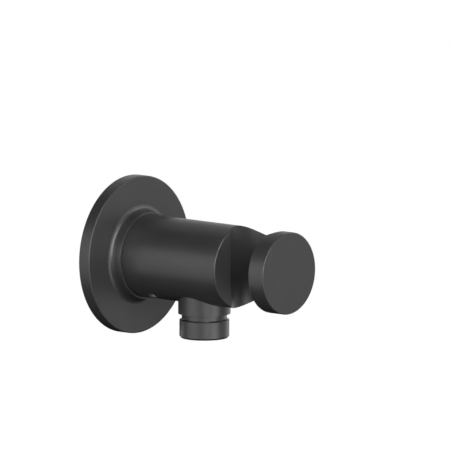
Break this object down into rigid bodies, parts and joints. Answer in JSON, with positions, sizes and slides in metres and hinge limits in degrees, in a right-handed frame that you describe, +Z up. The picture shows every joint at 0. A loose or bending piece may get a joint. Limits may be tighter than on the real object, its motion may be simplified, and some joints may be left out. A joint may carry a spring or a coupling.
{
  "type": "wall outlet elbow",
  "caption": "Round-bar shower wall outlet with a slotted cradle for the hand shower, a flat round rosette, a downward hose nipple and an inner check valve.",
  "frame": {"origin": "centre of the rosette's back face, in the plane of the finished wall, on the barrel's axis", "axes": "+Z up, +Y into the wall, the barrel comes out along -Y, the hose outlet points down along -Z and the cradle's slot opens towards -X"},
  "size_m": [0.0664, 0.0999, 0.0664],
  "materials": {
    "matt_coating": "matt",
    "bare_brass": "turned",
    "seal_rubber": "matt",
    "valve_plastic": "satin",
    "screw_steel": "satin",
    "spring_steel": "drawn wire"
  },
  "bodies": {
    "fitting": {"body": "matt_coating", "rosette": "matt_coating", "rosette_grip_ring": "seal_rubber", "rosette_wall_seal": "seal_rubber", "wall_nipple": "bare_brass", "wall_nipple_ring_rear": "seal_rubber", "wall_nipple_ring_front": "seal_rubber", "grub_screw": "screw_steel", "outlet_nipple": "matt_coating", "outlet_nipple_ring": "seal_rubber", "valve_housing": "valve_plastic", "valve_housing_ring": "seal_rubber", "valve_guide": "valve_plastic", "valve_spring": "spring_steel"},
    "poppet": {"valve_poppet": "valve_plastic", "valve_poppet_seal": "seal_rubber"}
  },
  "joints": [
    {"name": "poppet_slide", "type": "slide", "parent": "fitting", "child": "poppet", "axis": [0, 0, -1], "range_m": [0, 0.003], "stiffness_N_per_m": 30, "springref_m": -0.003, "deforming": ["valve_spring"]}
  ]
}
